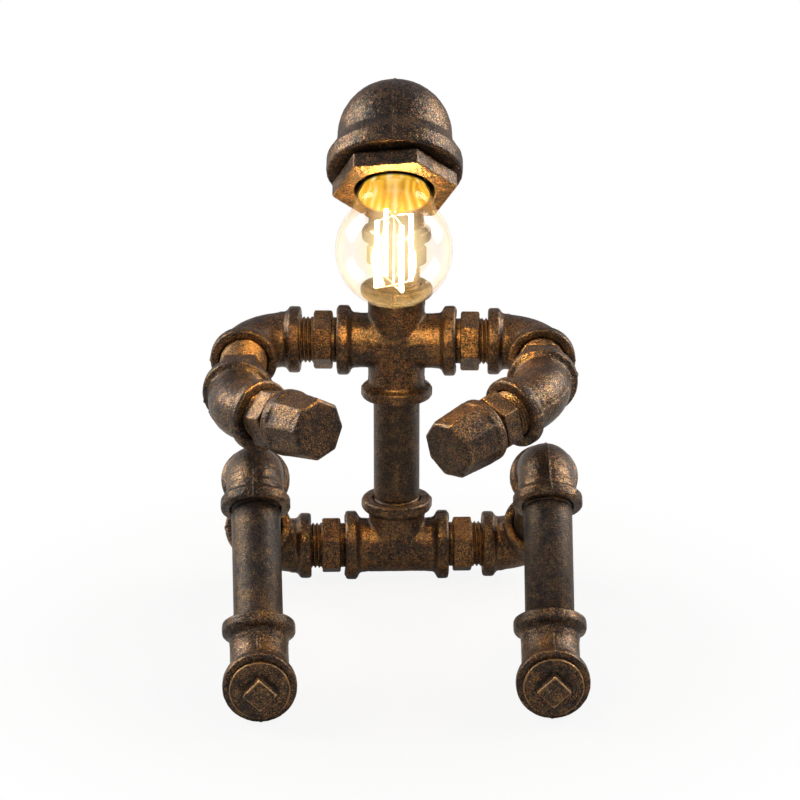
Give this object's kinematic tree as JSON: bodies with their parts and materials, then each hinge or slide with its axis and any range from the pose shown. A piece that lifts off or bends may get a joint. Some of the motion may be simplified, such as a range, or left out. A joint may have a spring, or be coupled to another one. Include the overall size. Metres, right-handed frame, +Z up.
{
  "type": "robot pipe desk lamp",
  "caption": "Seated robot desk lamp screwed together from bronzed pipe fittings, with a clear globe filament bulb under a domed head; neck, head, arms and legs turn on their threads.",
  "frame": {"origin": "centre of the footprint, on the surface that the pelvis and the feet stand on", "axes": "+Z up, -Y the way the robot faces, +X the robot's left"},
  "size_m": [0.1668, 0.1842, 0.2513],
  "materials": {
    "bronzed_iron": "sand-cast, dark bronze coat rubbed to copper on edges",
    "bronzed_nipple": "machined hexagons and threads, dark bronze coat with copper wear",
    "bronzed_pipe": "smooth dark bronze coat with fine copper speckle",
    "cap_brass": "bright thin sheet",
    "holder": "black moulded insulator",
    "lead": "black sheath",
    "bush": "black moulded bush",
    "clear_glass": "clear thin glass",
    "filament": "yellow phosphor coat, lit",
    "wire": "plain drawn wire"
  },
  "bodies": {
    "torso": {"pelvis_tee": "bronzed_iron", "cord_bush": "bush", "spine_pipe": "bronzed_pipe", "chest_cross": "bronzed_iron", "neck_nipple": "bronzed_nipple", "shoulder_nipple_left": "bronzed_nipple", "shoulder_nipple_right": "bronzed_nipple", "hip_nipple_left": "bronzed_nipple", "hip_nipple_right": "bronzed_nipple", "lead_torso": "lead"},
    "neck": {"neck_elbow": "bronzed_iron", "head_nipple": "bronzed_nipple", "lead_neck": "lead"},
    "head": {"head_elbow": "bronzed_iron", "head_bushing": "bronzed_nipple", "lamp_holder": "holder", "holder_shell": "cap_brass", "holder_contact": "cap_brass", "lead_head": "lead"},
    "bulb": {"bulb_cap": "cap_brass", "bulb_contact": "wire", "bulb_glass": "clear_glass", "bulb_stem": "clear_glass", "bulb_wires": "wire", "filament_1": "filament", "filament_2": "filament", "filament_3": "filament", "filament_4": "filament"},
    "upper_arm_left": {"shoulder_elbow_left": "bronzed_iron", "arm_nipple_left": "bronzed_nipple"},
    "forearm_left": {"forearm_elbow_left": "bronzed_iron", "wrist_nipple_left": "bronzed_nipple", "hand_cap_left": "bronzed_iron"},
    "thigh_left": {"hip_elbow_left": "bronzed_iron", "thigh_pipe_left": "bronzed_pipe"},
    "shin_left": {"knee_elbow_left": "bronzed_iron", "shin_pipe_left": "bronzed_pipe"},
    "foot_left": {"foot_elbow_left": "bronzed_iron", "foot_plug_left": "bronzed_iron"},
    "upper_arm_right": {"shoulder_elbow_right": "bronzed_iron", "arm_nipple_right": "bronzed_nipple"},
    "forearm_right": {"forearm_elbow_right": "bronzed_iron", "wrist_nipple_right": "bronzed_nipple", "hand_cap_right": "bronzed_iron"},
    "thigh_right": {"hip_elbow_right": "bronzed_iron", "thigh_pipe_right": "bronzed_pipe"},
    "shin_right": {"knee_elbow_right": "bronzed_iron", "shin_pipe_right": "bronzed_pipe"},
    "foot_right": {"foot_elbow_right": "bronzed_iron", "foot_plug_right": "bronzed_iron"}
  },
  "joints": [
    {"name": "neck_turn", "type": "hinge", "parent": "torso", "child": "neck", "pos_m": [0.00358, 0.07398, 0.1645], "axis": [0, 0, 1], "range_deg": [-90, 90]},
    {"name": "head_roll", "type": "hinge", "parent": "neck", "child": "head", "pos_m": [0.00288, 0.05579, 0.20321], "axis": [-0.0271, -0.7066, 0.7071], "range_deg": [-60, 60]},
    {"name": "bulb_unscrew", "type": "slide", "parent": "head", "child": "bulb", "axis": [-0.0271, -0.7066, -0.7071], "range_m": [0, 0.02]},
    {"name": "shoulder_left", "type": "hinge", "parent": "torso", "child": "upper_arm_left", "pos_m": [0.04511, 0.07151, 0.1165], "axis": [0.9982, -0.0593, 0], "range_deg": [-10, 1]},
    {"name": "forearm_left", "type": "hinge", "parent": "upper_arm_left", "child": "forearm_left", "pos_m": [0.06668, 0.02491, 0.11429], "axis": [-0.0592, -0.997, -0.0489], "range_deg": [-15, 10]},
    {"name": "hip_left", "type": "hinge", "parent": "torso", "child": "thigh_left", "pos_m": [0.04348, 0.07398, 0.016], "axis": [1, 0, 0], "range_deg": [0, 60]},
    {"name": "knee_left", "type": "hinge", "parent": "thigh_left", "child": "shin_left", "pos_m": [0.06778, 0.02254, 0.06744], "axis": [0, -0.7071, 0.7071], "range_deg": [-20, 30]},
    {"name": "foot_left", "type": "hinge", "parent": "shin_left", "child": "foot_left", "pos_m": [0.0659, -0.04907, 0.03019], "axis": [-0.0244, -0.7069, -0.7069], "range_deg": [-45, 45]},
    {"name": "shoulder_right", "type": "hinge", "parent": "torso", "child": "upper_arm_right", "pos_m": [-0.04014, 0.07658, 0.1165], "axis": [0.9982, -0.0593, 0], "range_deg": [-8, 1]},
    {"name": "forearm_right", "type": "hinge", "parent": "upper_arm_right", "child": "forearm_right", "pos_m": [-0.06749, 0.02598, 0.11028], "axis": [-0.0589, -0.9912, -0.1184], "range_deg": [-10, 15]},
    {"name": "hip_right", "type": "hinge", "parent": "torso", "child": "thigh_right", "pos_m": [-0.03632, 0.07398, 0.016], "axis": [1, 0, 0], "range_deg": [0, 60]},
    {"name": "knee_right", "type": "hinge", "parent": "thigh_right", "child": "shin_right", "pos_m": [-0.06062, 0.02254, 0.06744], "axis": [0, -0.7071, 0.7071], "range_deg": [-30, 20]},
    {"name": "foot_right", "type": "hinge", "parent": "shin_right", "child": "foot_right", "pos_m": [-0.05874, -0.04907, 0.03019], "axis": [0.0244, -0.7069, -0.7069], "range_deg": [-45, 45]}
  ]
}
